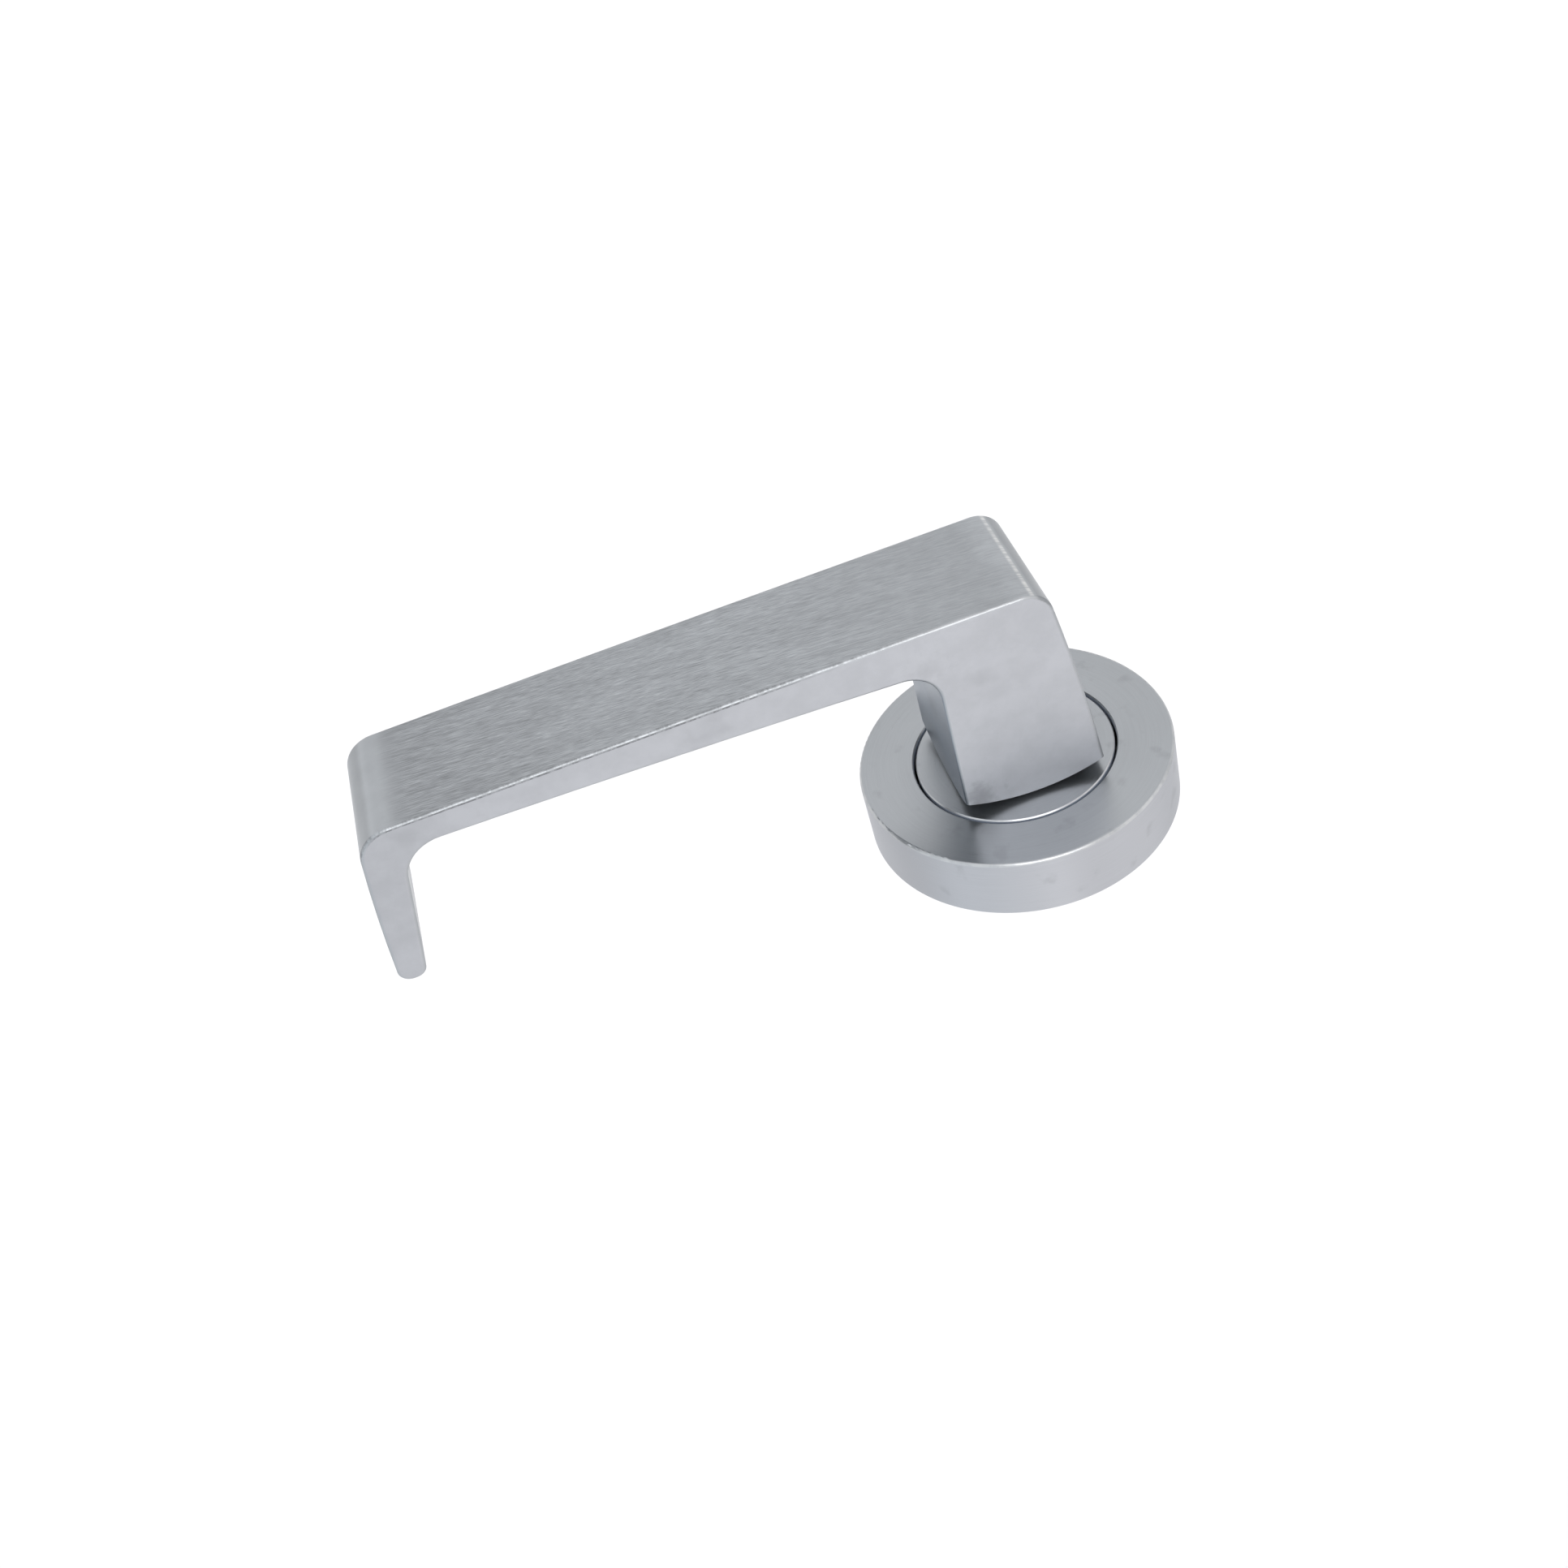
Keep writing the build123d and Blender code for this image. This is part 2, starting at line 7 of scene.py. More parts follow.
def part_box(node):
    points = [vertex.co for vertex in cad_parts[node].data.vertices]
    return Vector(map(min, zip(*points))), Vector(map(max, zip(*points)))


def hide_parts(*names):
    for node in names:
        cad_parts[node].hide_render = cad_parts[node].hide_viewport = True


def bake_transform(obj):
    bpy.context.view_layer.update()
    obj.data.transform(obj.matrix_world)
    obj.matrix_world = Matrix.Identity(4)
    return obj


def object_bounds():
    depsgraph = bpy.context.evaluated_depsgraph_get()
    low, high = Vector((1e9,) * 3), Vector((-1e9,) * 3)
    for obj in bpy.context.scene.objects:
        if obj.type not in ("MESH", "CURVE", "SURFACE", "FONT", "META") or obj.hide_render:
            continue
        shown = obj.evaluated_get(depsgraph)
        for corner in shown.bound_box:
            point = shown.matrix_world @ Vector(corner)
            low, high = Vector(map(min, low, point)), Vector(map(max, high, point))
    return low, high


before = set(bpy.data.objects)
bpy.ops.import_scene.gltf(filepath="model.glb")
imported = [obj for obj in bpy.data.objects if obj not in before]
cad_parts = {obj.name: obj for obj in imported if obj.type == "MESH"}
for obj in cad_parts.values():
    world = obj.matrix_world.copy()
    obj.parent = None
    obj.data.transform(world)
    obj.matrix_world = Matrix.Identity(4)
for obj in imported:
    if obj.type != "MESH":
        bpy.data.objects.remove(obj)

# The looks of the door lever handle: finishes on the imported CAD nodes, a return spring built as a
# round wire, soft studio light and a pale floor. Lengths are in metres, unless a comment says mm,
# and angles in degrees.

cad_low, cad_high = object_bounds()
MM = 0.001
ROSE_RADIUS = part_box("rose_cover")[1].x
DISC_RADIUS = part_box("centre_disc")[1].x

# Camera: where it stands, what it looks at, its roll, its lens and sensor in mm, and its range
CAMERA_PLACE = Vector((0.05238, -0.23122, 0.22832))
CAMERA_AIM = Vector((0.03938, -0.02203, 0.0))
CAMERA_ROLL = 157.585
CAMERA_LENS = 42.75
CAMERA_SENSOR = 36.0
CAMERA_NEAREST = 0.01
CAMERA_FARTHEST = 20.0

# Floor and light: places, sizes, colours, and powers in watts
FLOOR_DROP = 0.16
FLOOR_SIZE = 8.0
FLOOR_COLOUR = (0.76, 0.76, 0.76)
FLOOR_ROUGHNESS = 0.9
FLOOR_GLOSS = 0.1
SKY_COLOUR = (1.0, 0.99, 0.995)
COOL_SKY_COLOUR = (0.94, 0.97, 1.0)
SKY_BLEND = (-0.1, 0.8)
SKY_STRENGTH = 1.3
KEY_PLACE = (0.06, -0.62, 0.66)
KEY_SIZE = 0.62
KEY_POWER = 2.4
BAR_LIGHT_PLACE = (0.04, 0.66, 0.80)
BAR_LIGHT_SIZE = 0.30
BAR_LIGHT_POWER = 0.16

# Colours of the finishes, linear, each with the colours that are mixed into it below
CHROME = (0.358, 0.374, 0.391)
# Painted light: a lighter copy of the chrome for the lever's sides and the rose's rim
PAINTED_LIT_SIDE_CHROME = (0.392, 0.402, 0.426)
# Painted highlight on the crease, the long edges at the neck and the rose's rim edge
PAINTED_HIGHLIGHT_CHROME = (0.66, 0.66, 0.65)
# Painted shade, dark and cool, for the lever's faces towards the tip
COOL_SHADE_CHROME = (0.180, 0.210, 0.250)
# Painted shade: a slate grey standing in for the shade in the groove round the disc
GROOVE_SHADE_GREY = (0.30, 0.34, 0.41)
CAST_ZINC = (0.36, 0.37, 0.385)
ZINC_FLOW = (0.27, 0.275, 0.28)
PLATED_STEEL = (0.50, 0.53, 0.57)
YELLOW_CAST = (0.60, 0.56, 0.46)
SPRING_STEEL = (0.23, 0.235, 0.25)
BROWN_HEAT = (0.20, 0.17, 0.14)
BLUE_HEAT = (0.15, 0.18, 0.25)
NYLON = (0.78, 0.77, 0.72)
NYLON_STAIN = (0.70, 0.66, 0.56)
RUBBER = (0.022, 0.022, 0.024)
# The disc ring's rubber, a slate grey that partly stands in for the shade in the gap round the disc
DISC_RING_RUBBER_AND_SHADE = (0.20, 0.23, 0.28)
DUST = (0.085, 0.086, 0.088)
FOAM = (0.045, 0.046, 0.05)
FOAM_SKIN = (0.085, 0.086, 0.09)
BLACK_STEEL = (0.035, 0.036, 0.04)
RUBBED_STEEL = (0.20, 0.20, 0.21)

# Range and middle that soft noise mostly keeps to
NOISE_LOW = 0.3
NOISE_HIGH = 0.7
NOISE_MIDDLE = 0.5

# Size of the finest satin marks in mm
SATIN = 0.11

# Sockets of a Mix node that mixes colours
MIX_SHARE = 0
MIX_START = 6
MIX_COLOUR = 7
MIX_RESULT = 2


# ------------------------------------------------------------------ shader helpers

class Finish:
    """A material, with short calls that add nodes to its tree."""

    def __init__(self, name, metallic, roughness):
        self.material = bpy.data.materials.new(name)
        self.material.use_nodes = True
        self.tree = self.material.node_tree
        self.surface = self.tree.nodes["Principled BSDF"]
        self.surface.inputs["Metallic"].default_value = metallic
        self.surface.inputs["Roughness"].default_value = roughness
        place = self.node("TexCoord")
        self.place = place.outputs["Object"]
        self.x, self.y, self.z = self.node("SeparateXYZ", Vector=self.place).outputs
        facing = self.node("SeparateXYZ", Vector=place.outputs["Normal"])
        self.nx, self.ny, self.nz = facing.outputs

    def node(self, kind, settings=(), **inputs):
        """Add a node, set its options, and feed its inputs by name."""
        made = self.tree.nodes.new("ShaderNode" + kind)
        for option, value in dict(settings).items():
            setattr(made, option, value)
        for name, value in inputs.items():
            self.feed(made.inputs[name.replace("_", " ")], value)
        return made

    def feed(self, socket, value):
        """Link an output into a socket, or set the socket's own value."""
        if isinstance(value, bpy.types.NodeSocket):
            self.tree.links.new(value, socket)
        else:
            socket.default_value = value

    def math(self, operation, *values):
        """Result of a Math node."""
        made = self.node("Math", {"operation": operation})
        for socket, value in zip(made.inputs, values):
            self.feed(socket, value)
        return made.outputs[0]

    def times(self, *values):
        """Product of two or more values."""
        result = values[0]
        for value in values[1:]:
            result = self.math("MULTIPLY", result, value)
        return result

    def plus(self, first, second):
        """Sum of two values."""
        return self.math("ADD", first, second)

    def opposite(self, value):
        """The value with its sign changed."""
        return self.math("MULTIPLY", value, -1.0)

    def centred(self, value):
        """Soft noise shifted so that it swings about zero."""
        return self.math("SUBTRACT", value, NOISE_MIDDLE)

    def changed(self, factor, share, change):
        """Factor, made larger or smaller by a change where the share is one."""
        return self.times(factor, self.plus(1.0, self.times(share, change)))

    def ramp(self, value, start, end, low=0.0, high=1.0):
        """Goes smoothly from low at start to high at end, and stays there beyond."""
        made = self.node("MapRange", {"interpolation_type": "SMOOTHSTEP"}, Value=value)
        for name, number in (("From Min", start), ("From Max", end), ("To Min", low), ("To Max", high)):
            made.inputs[name].default_value = number
        return made.outputs["Result"]

    def fall(self, value, start, end):
        """Goes smoothly from one at start to none at end."""
        return self.ramp(value, start, end, 1.0, 0.0)

    def band(self, value, start, full_from, full_to, end):
        """One between full_from and full_to, and none outside start and end."""
        return self.times(self.ramp(value, start, full_from), self.fall(value, full_to, end))

    def stretched(self, x_size, y_size, z_size, turn=0.0):
        """Object coordinates counted in marks of the given sizes in mm, turned about Y in degrees."""
        turned = self.node("Mapping", Vector=self.place)
        turned.inputs["Rotation"].default_value = (0, math.radians(turn), 0)
        scaled = self.node("Mapping", Vector=turned.outputs[0])
        scaled.inputs["Scale"].default_value = tuple(1 / (size * MM) for size in (x_size, y_size, z_size))
        return scaled.outputs[0]

    def noise(self, where, detail=2.0, roughness=0.55):
        """Soft noise of about NOISE_LOW to NOISE_HIGH, one mark for each unit of where."""
        made = self.node("TexNoise", {}, Vector=where, Scale=1.0, Detail=detail, Roughness=roughness)
        return made.outputs[0]

    def spots(self, size, detail, roughness):
        """Soft noise with marks of one size in mm, as long as they are wide."""
        return self.noise(self.stretched(size, size, size), detail, roughness)

    def tint(self, start, colour, share):
        """Colour start, mixed towards another colour by a share."""
        made = self.node("Mix", {"data_type": "RGBA"})
        for place, value in ((MIX_SHARE, share), (MIX_START, start), (MIX_COLOUR, colour)):
            if isinstance(value, tuple):
                value = (*value, 1.0)
            self.feed(made.inputs[place], value)
        return made.outputs[MIX_RESULT]

    def shade(self, colour, factor):
        """Colour times a brightness factor."""
        made = self.node("VectorMath", {"operation": "SCALE"})
        self.feed(made.inputs[0], colour)
        self.feed(made.inputs["Scale"], factor)
        return made.outputs[0]

    def bump(self, height, depth):
        """Relief of a height of 0 to 1 over a depth in metres."""
        made = self.node("Bump", {}, Height=height, Strength=1.0, Distance=depth)
        self.feed(self.surface.inputs["Normal"], made.outputs[0])

    def colour(self, value):
        """Base colour of the surface."""
        self.feed(self.surface.inputs["Base Color"], value)

    def roughness(self, value):
        """Roughness of the surface."""
        self.feed(self.surface.inputs["Roughness"], value)

    def uneven_roughness(self, value, low, high):
        """Roughness that goes from low to high with soft noise."""
        self.roughness(self.ramp(value, NOISE_LOW, NOISE_HIGH, low, high))

    def brushed_round(self, axis):
        """Highlights stretched round an axis of the object."""
        tangent = self.node("Tangent", {"direction_type": "RADIAL", "axis": axis})
        self.feed(self.surface.inputs["Tangent"], tangent.outputs[0])


def swing(finish, value, amount):
    """Turns soft noise into a factor that swings about one by the amount."""
    return finish.ramp(value, NOISE_LOW, NOISE_HIGH, 1 - amount, 1 + amount)


def smudges(finish, size, amount):
    """Factor that darkens a few soft blotches of about the given size in mm."""
    blotch = finish.spots(size, 3.0, 0.5)
    return finish.ramp(blotch, 0.60, 0.72, 1.0, 1 - amount)


def mark(finish, place, size, amount):
    """Factor that darkens one soft uneven mark of a given size about a place, both in metres."""
    offset = finish.node("VectorMath", {"operation": "DISTANCE"})
    finish.feed(offset.inputs[0], finish.place)
    offset.inputs[1].default_value = place
    uneven = finish.spots(1.6, 3.0, 0.6)
    reach = finish.times(offset.outputs["Value"], finish.ramp(uneven, NOISE_LOW, NOISE_HIGH, 1.7, 0.6))
    return finish.ramp(reach, 0.0, size, 1 - amount, 1.0)


# ------------------------------------------------------------------ finishes

# Places along the lever from the spindle axis. Two numbers are where a change starts and ends;
# four are where a band starts, becomes full, starts to fade, and ends.
NECK_CREASE = -0.0047
GRAIN_END = 0.0970
GRAIN_AT_NECK = (0.0, 0.05)
GRAIN_AT_TIP = (GRAIN_END - 0.004, GRAIN_END + 0.003)
EDGE_BEHIND = (NECK_CREASE - 0.001, NECK_CREASE)
EDGE_AT_NECK = (0.006, 0.026)
# Painted light and shade along the lever: the dark line under the edges, the crease highlight, the light
# on the front next to the crease and the shade behind it, the corner's shade, and the tip's shade,
# highlight and rounded shade
UNDER_EDGE_SHADE = (0.022, 0.045, 0.099, 0.104)
CREASE_HIGHLIGHT = tuple(NECK_CREASE + step for step in (-0.0004, -0.0001, 0.0001, 0.0006))
BEFORE_CREASE_LIGHT = (NECK_CREASE - 0.0001, NECK_CREASE, -0.0040, 0.0005)
BEHIND_CREASE_SHADE = (NECK_CREASE - 0.0003, NECK_CREASE - 0.0009)
CORNER_SHADE_BEHIND = (NECK_CREASE - 0.0002, NECK_CREASE - 0.0012)
TIP_SHADE = (0.055, 0.090, GRAIN_END - 0.0015, GRAIN_END + 0.0025)
TIP_HIGHLIGHT = (0.0968, 0.0992, 0.1008, 0.1022)
TIP_ROUND_SHADE = (0.1012, 0.1024, 0.1034, 0.1052)
# Where the sides' painted light and shade end, and where the painted cool shade fades
SIDE_AT_NECK = (0.012, 0.028)
SIDE_AT_TIP = (0.086, 0.097)
COOL_SHADE_BEFORE = (0.030, 0.050)

# How far out of the door the front begins
FRONT_OUT = (0.045, 0.047)

# How squarely a surface faces one way, 1 being squarely, where its finish changes
FRONT_FACE = (0.90, 0.985)
SIDE_FACE = (0.90, 0.99)
SIDE_ROUGH_FACE = (0.85, 0.99)
NOT_SIDE_FACE = (0.2, 0.5)
TIP_FACE = (0.50, 0.95)
BEVEL_FACE = (0.18, 0.34, 0.84, 0.93)
UNDER_BEVEL_FACE = (0.84, 0.92, 0.985, 0.998)
CORNER_FACE = (0.10, 0.45, 0.90, 0.999)

# Turn of the brushed grain, and the two dark marks, the one at the neck's foot being painted shade: each
# a place, a size and an amount
GRAIN_ANGLE = -5.5
FOOT_SHADE = ((0.0095, -0.0158, 0.0120), 0.0045, 0.24)
NECK_MARK = ((0.0134, -0.0453, 0.0122), 0.0042, 0.07)


def lever_chrome():
    """Satin chrome of the lever: a brushed front, smooth sides, and painted highlights and shade on the
    edges between them and at the crease, corner and tip.
    """
    f = Finish("lever_satin_chrome", 1.0, 0.34)
    along, out = f.x, f.opposite(f.y)
    facing_front = f.opposite(f.ny)
    facing_side = f.math("ABSOLUTE", f.nz)
    facing_tip = f.nx

    # Brushed grain on the front, fainter towards the neck and gone at the tip's rounding
    front = f.times(f.ramp(facing_front, *FRONT_FACE), f.ramp(out, *FRONT_OUT))
    brushed = f.times(front, f.fall(along, *GRAIN_AT_TIP))
    strength = f.times(brushed, f.ramp(along, *GRAIN_AT_NECK, low=0.35))
    streaks = f.noise(f.stretched(3.2, 1.0, 0.12, GRAIN_ANGLE), 1.0, 0.5)
    hairs = f.noise(f.stretched(1.5, 1.0, 0.065, GRAIN_ANGLE + 1.0), 1.0, 0.5)
    belts = f.noise(f.stretched(20.0, 5.0, 1.2, GRAIN_ANGLE), 2.0, 0.5)
    grain = f.times(f.plus(f.centred(streaks), f.centred(hairs)), strength)
    flecks = f.times(f.ramp(hairs, 0.66, 0.78), f.ramp(belts, 0.42, 0.58), strength)

    # Long edges: painted shade in broken patches along the bevel, a painted highlight at the neck, and a
    # painted dark line underneath
    painted_edge_breaks = f.noise(f.stretched(0.9, 1.0, 40.0), 4.0, 0.7)
    long_edge = f.times(f.band(facing_side, *BEVEL_FACE), f.ramp(facing_front, 0.15, 0.35))
    long_edge = f.times(long_edge, f.ramp(along, *EDGE_BEHIND))
    near_neck = f.fall(along, *EDGE_AT_NECK)
    bevel_shade = f.times(long_edge, f.ramp(painted_edge_breaks, 0.38, 0.62, 0.36, 0.06))
    bevel_shade = f.times(bevel_shade, f.math("SUBTRACT", 1.0, near_neck))
    under_edge_shade = f.times(f.band(facing_side, *UNDER_BEVEL_FACE), f.ramp(facing_front, 0.03, 0.10))
    under_edge_shade = f.times(under_edge_shade, f.ramp(painted_edge_breaks, 0.36, 0.60, 0.35, 1.0))
    under_edge_shade = f.times(under_edge_shade, f.band(along, *UNDER_EDGE_SHADE))

    # Where the front turns over the neck: a painted highlight in a beaded line, painted light on the
    # front next to it, then painted shade on the corner and back
    not_side = f.fall(facing_side, *NOT_SIDE_FACE)
    beads = f.ramp(f.noise(f.stretched(40.0, 40.0, 0.45), 2.0, 0.6), 0.35, 0.65, 0.25, 1.0)
    crease_highlight = f.times(f.band(along, *CREASE_HIGHLIGHT), beads, f.ramp(facing_front, 0.4, 0.7), not_side)
    before_crease_light = f.times(front, f.band(along, *BEFORE_CREASE_LIGHT))
    behind_crease_shade = f.times(not_side, f.ramp(along, *BEHIND_CREASE_SHADE))
    # Painted shade on the corner where the front turns over the neck
    corner = f.times(f.band(facing_side, *CORNER_FACE), f.ramp(facing_front, 0.05, 0.30))
    corner = f.times(corner, f.ramp(along, *CORNER_SHADE_BEHIND))

    # At the tip: painted shade, then a painted highlight band where the front starts to turn down, then
    # painted shade again
    tip_shade = f.times(front, f.band(along, *TIP_SHADE))
    tip_highlight = f.times(f.band(along, *TIP_HIGHLIGHT), f.ramp(facing_front, 0.45, 0.8))
    tip_round_shade = f.times(not_side, f.band(along, *TIP_ROUND_SHADE))

    # Brightness: grain, clouds and smudges, then painted light and shade on the front and each of the
    # areas above
    clouds = f.noise(f.stretched(16.0, 9.0, 9.0), 2.0, 0.5)
    mottle = f.spots(3.5, 4.0, 0.65)
    factor = f.plus(f.plus(1.0, f.times(grain, 0.95)), f.times(flecks, 0.20))
    factor = f.times(factor, swing(f, clouds, 0.03), smudges(f, 11.0, 0.07))
    factor = f.changed(factor, f.times(f.centred(belts), strength), 0.30)
    for share, change in (
        # Painted shade over the whole front, then the painted marks above
        (front, -0.10),
        (bevel_shade, -1.0),
        (under_edge_shade, -0.55),
        (corner, -0.30),
        (tip_shade, -0.12),
        (tip_highlight, 0.11),
        (before_crease_light, 0.14),
        (tip_round_shade, -0.14),
        (behind_crease_shade, -0.19),
    ):
        factor = f.changed(factor, share, change)
    # Painted shade at the neck's foot, a dark mark on the neck, and mottle
    factor = f.times(factor, mark(f, *FOOT_SHADE), mark(f, *NECK_MARK), swing(f, mottle, 0.03))
    # Painted light on the sides near the neck, and painted shade on them near the tip
    side = f.ramp(facing_side, *SIDE_FACE)
    side_light_and_shade = f.plus(f.ramp(along, *SIDE_AT_NECK, 0.08, 0.0), f.ramp(along, *SIDE_AT_TIP, 0.0, -0.05))
    factor = f.changed(factor, side, side_light_and_shade)

    # Colour: painted light on the sides, painted highlights on the crease and the long edges at the neck,
    # and a painted shade, dark and cool, on the neck's face towards the tip
    metal = f.tint(CHROME, PAINTED_LIT_SIDE_CHROME, side)
    metal = f.tint(metal, PAINTED_HIGHLIGHT_CHROME, f.times(crease_highlight, 0.8))
    metal = f.tint(metal, PAINTED_HIGHLIGHT_CHROME, f.times(long_edge, near_neck, 0.12))
    cool_shade = f.times(f.ramp(facing_tip, *TIP_FACE), f.ramp(along, *COOL_SHADE_BEFORE, 1.0, 0.15))
    f.colour(f.shade(f.tint(metal, COOL_SHADE_CHROME, cool_shade), factor))

    rough = f.plus(f.ramp(facing_side, *SIDE_ROUGH_FACE, 0.34, 0.44), f.times(brushed, 0.04))
    rough = f.plus(rough, f.times(grain, -0.20))
    f.roughness(f.plus(rough, f.times(f.centred(clouds), 0.12)))
    satin = f.spots(SATIN, 1.0, 0.5)
    f.bump(f.plus(grain, f.times(f.centred(satin), 0.3)), 0.0035 * MM)
    f.surface.inputs["Anisotropic"].default_value = 0.35
    f.brushed_round("X")
    return f.material


# Places in the turned finish, from its rim or from the disc's edge, and the size of its marks
# Where the rim's painted highlight starts and becomes full
RIM_EDGE_HIGHLIGHT = (-0.9 * MM, -0.4 * MM)
DISC_GROOVE = (-0.4 * MM, -0.2 * MM, 0.7 * MM, 0.9 * MM)
CIRCLE_WIDTH = 0.10 * MM
CIRCLE_HEIGHT = 0.12 * MM
CIRCLE_BREAKS = 2.5


def turned_chrome(name, radius):
    """Satin chrome turned on a lathe: fine circles on the front and round the rim, painted light on the
    rim and its edge, and painted shade in the groove.
    """
    f = Finish(name, 1.0, 0.30)
    facing_front = f.opposite(f.ny)
    from_axis = f.math("SQRT", f.plus(f.math("POWER", f.x, 2.0), f.math("POWER", f.z, 2.0)))
    lathe = f.node("CombineXYZ")
    f.feed(lathe.inputs[0], f.times(from_axis, 1 / CIRCLE_WIDTH))
    f.feed(lathe.inputs[1], f.times(f.y, 1 / CIRCLE_HEIGHT))
    f.feed(lathe.inputs[2], f.times(f.math("ARCTAN2", f.z, f.x), CIRCLE_BREAKS))
    circles = f.noise(lathe.outputs[0], 2.0, 0.6)
    sectors = f.noise(f.stretched(16.0, 60.0, 16.0), 1.0, 0.5)

    # Painted light on the rim with a painted highlight on its edge, and painted shade, slate grey, in the
    # groove round the disc
    rim = f.fall(facing_front, 0.15, 0.45)
    rim_edge_highlight = f.ramp(from_axis, *(radius + step for step in RIM_EDGE_HIGHLIGHT))
    rim_edge_highlight = f.times(f.band(facing_front, 0.15, 0.35, 0.85, 0.97), rim_edge_highlight)
    painted_edge_breaks = f.ramp(f.spots(1.8, 3.0, 0.6), 0.35, 0.62, 0.45, 1.0)
    groove_shade = f.band(from_axis, *(DISC_RADIUS + step for step in DISC_GROOVE))
    groove_shade = f.times(groove_shade, f.fall(facing_front, 0.3, 0.55))
    metal = f.tint(f.tint(CHROME, PAINTED_LIT_SIDE_CHROME, rim), PAINTED_HIGHLIGHT_CHROME, f.times(rim_edge_highlight, painted_edge_breaks, 0.35))
    metal = f.tint(metal, GROOVE_SHADE_GREY, groove_shade)
    # Painted light: the rim a little brighter still
    metal = f.shade(metal, f.ramp(rim, 0.0, 1.0, 1.0, 1.05))
    factor = f.times(swing(f, circles, 0.03), swing(f, sectors, 0.025), smudges(f, 5.0, 0.10))
    f.colour(f.shade(metal, factor))
    # Less metallic in the groove, so that its painted shade shows
    f.feed(f.surface.inputs["Metallic"], f.ramp(groove_shade, 0.0, 1.0, 1.0, 0.2))

    rough = f.plus(0.30, f.times(rim, 0.16))
    f.roughness(f.plus(rough, f.times(f.centred(circles), 0.10)))
    f.bump(f.plus(circles, f.times(f.spots(SATIN, 1.0, 0.5), 0.3)), 0.0025 * MM)
    f.surface.inputs["Anisotropic"].default_value = 0.6
    f.surface.inputs["Anisotropic Rotation"].default_value = 0.25
    f.brushed_round("Y")
    return f.material


def cast_zinc():
    """Raw zinc die casting: matt, with fine grain and faint flow marks."""
    f = Finish("raw_cast_zinc", 1.0, 0.5)
    grit = f.spots(0.16, 3.0, 0.6)
    flow = f.noise(f.stretched(6.0, 4.0, 9.0), 4.0, 0.6)
    metal = f.tint(CAST_ZINC, ZINC_FLOW, f.ramp(flow, 0.5, 0.72))
    f.colour(f.shade(metal, swing(f, grit, 0.07)))
    f.uneven_roughness(flow, 0.42, 0.60)
    f.bump(grit, 0.03 * MM)
    return f.material


def plated_steel():
    """Bright zinc plate: bluish, with a faint yellow cast and fine scratches."""
    f = Finish("bright_zinc_plate", 1.0, 0.28)
    cast = f.spots(5.0, 3.0, 0.5)
    scratches = f.noise(f.stretched(0.10, 1.4, 0.10), 2.0, 0.5)
    metal = f.tint(PLATED_STEEL, YELLOW_CAST, f.ramp(cast, 0.45, 0.75, 0.0, 0.6))
    f.colour(f.shade(metal, swing(f, scratches, 0.03)))
    f.uneven_roughness(scratches, 0.28, 0.36)
    f.bump(scratches, 0.0012 * MM)
    return f.material


def spring_steel():
    """Oiled spring steel: dark grey, with drawing lines and a brown and blue heat tint."""
    f = Finish("oiled_spring_steel", 1.0, 0.34)
    heat = f.spots(4.0, 2.0, 0.5)
    drawn = f.noise(f.stretched(0.10, 0.25, 0.10), 3.0, 0.6)
    tinted = f.tint(SPRING_STEEL, BROWN_HEAT, f.ramp(heat, 0.5, 0.7, 0.0, 0.8))
    tinted = f.tint(tinted, BLUE_HEAT, f.ramp(heat, 0.5, 0.32, 0.0, 0.7))
    f.colour(f.shade(tinted, swing(f, drawn, 0.08)))
    f.uneven_roughness(drawn, 0.26, 0.44)
    f.bump(drawn, 0.006 * MM)
    return f.material


def moulded_nylon():
    """Off-white nylon: slightly translucent, with faint moulding marks."""
    f = Finish("moulded_nylon", 0.0, 0.42)
    marks = f.spots(0.35, 3.0, 0.6)
    stain = f.spots(6.0, 2.0, 0.5)
    tinted = f.tint(NYLON, NYLON_STAIN, f.ramp(stain, 0.5, 0.75, 0.0, 0.6))
    f.colour(f.shade(tinted, swing(f, marks, 0.02)))
    f.uneven_roughness(marks, 0.36, 0.50)
    f.bump(marks, 0.01 * MM)
    f.surface.inputs["Subsurface Weight"].default_value = 0.15
    f.surface.inputs["Subsurface Radius"].default_value = (0.0012, 0.0010, 0.0007)
    f.surface.inputs["Subsurface Scale"].default_value = 1.0
    return f.material


def moulded_rubber(name, colour):
    """Moulded rubber: matt, faintly dusty, with a fine texture."""
    f = Finish(name, 0.0, 0.72)
    texture = f.spots(0.15, 3.0, 0.6)
    dust = f.spots(3.0, 4.0, 0.6)
    f.colour(f.tint(colour, DUST, f.ramp(dust, 0.45, 0.75, 0.0, 0.6)))
    f.uneven_roughness(texture, 0.62, 0.82)
    f.bump(texture, 0.02 * MM)
    return f.material


def gasket_foam():
    """Closed-cell foam: charcoal, with a skin of fine pores."""
    f = Finish("closed_cell_foam", 0.0, 0.88)
    cells = f.node("TexVoronoi", {"feature": "F1"}, Vector=f.stretched(0.28, 0.28, 0.28), Scale=1.0)
    patches = f.spots(5.0, 3.0, 0.6)
    pores = f.ramp(cells.outputs["Distance"], 0.15, 0.5)
    f.colour(f.shade(f.tint(FOAM, FOAM_SKIN, pores), swing(f, patches, 0.15)))
    f.roughness(f.ramp(pores, 0.0, 1.0, 0.95, 0.82))
    f.bump(pores, 0.06 * MM)
    f.surface.inputs["Sheen Weight"].default_value = 0.1
    return f.material


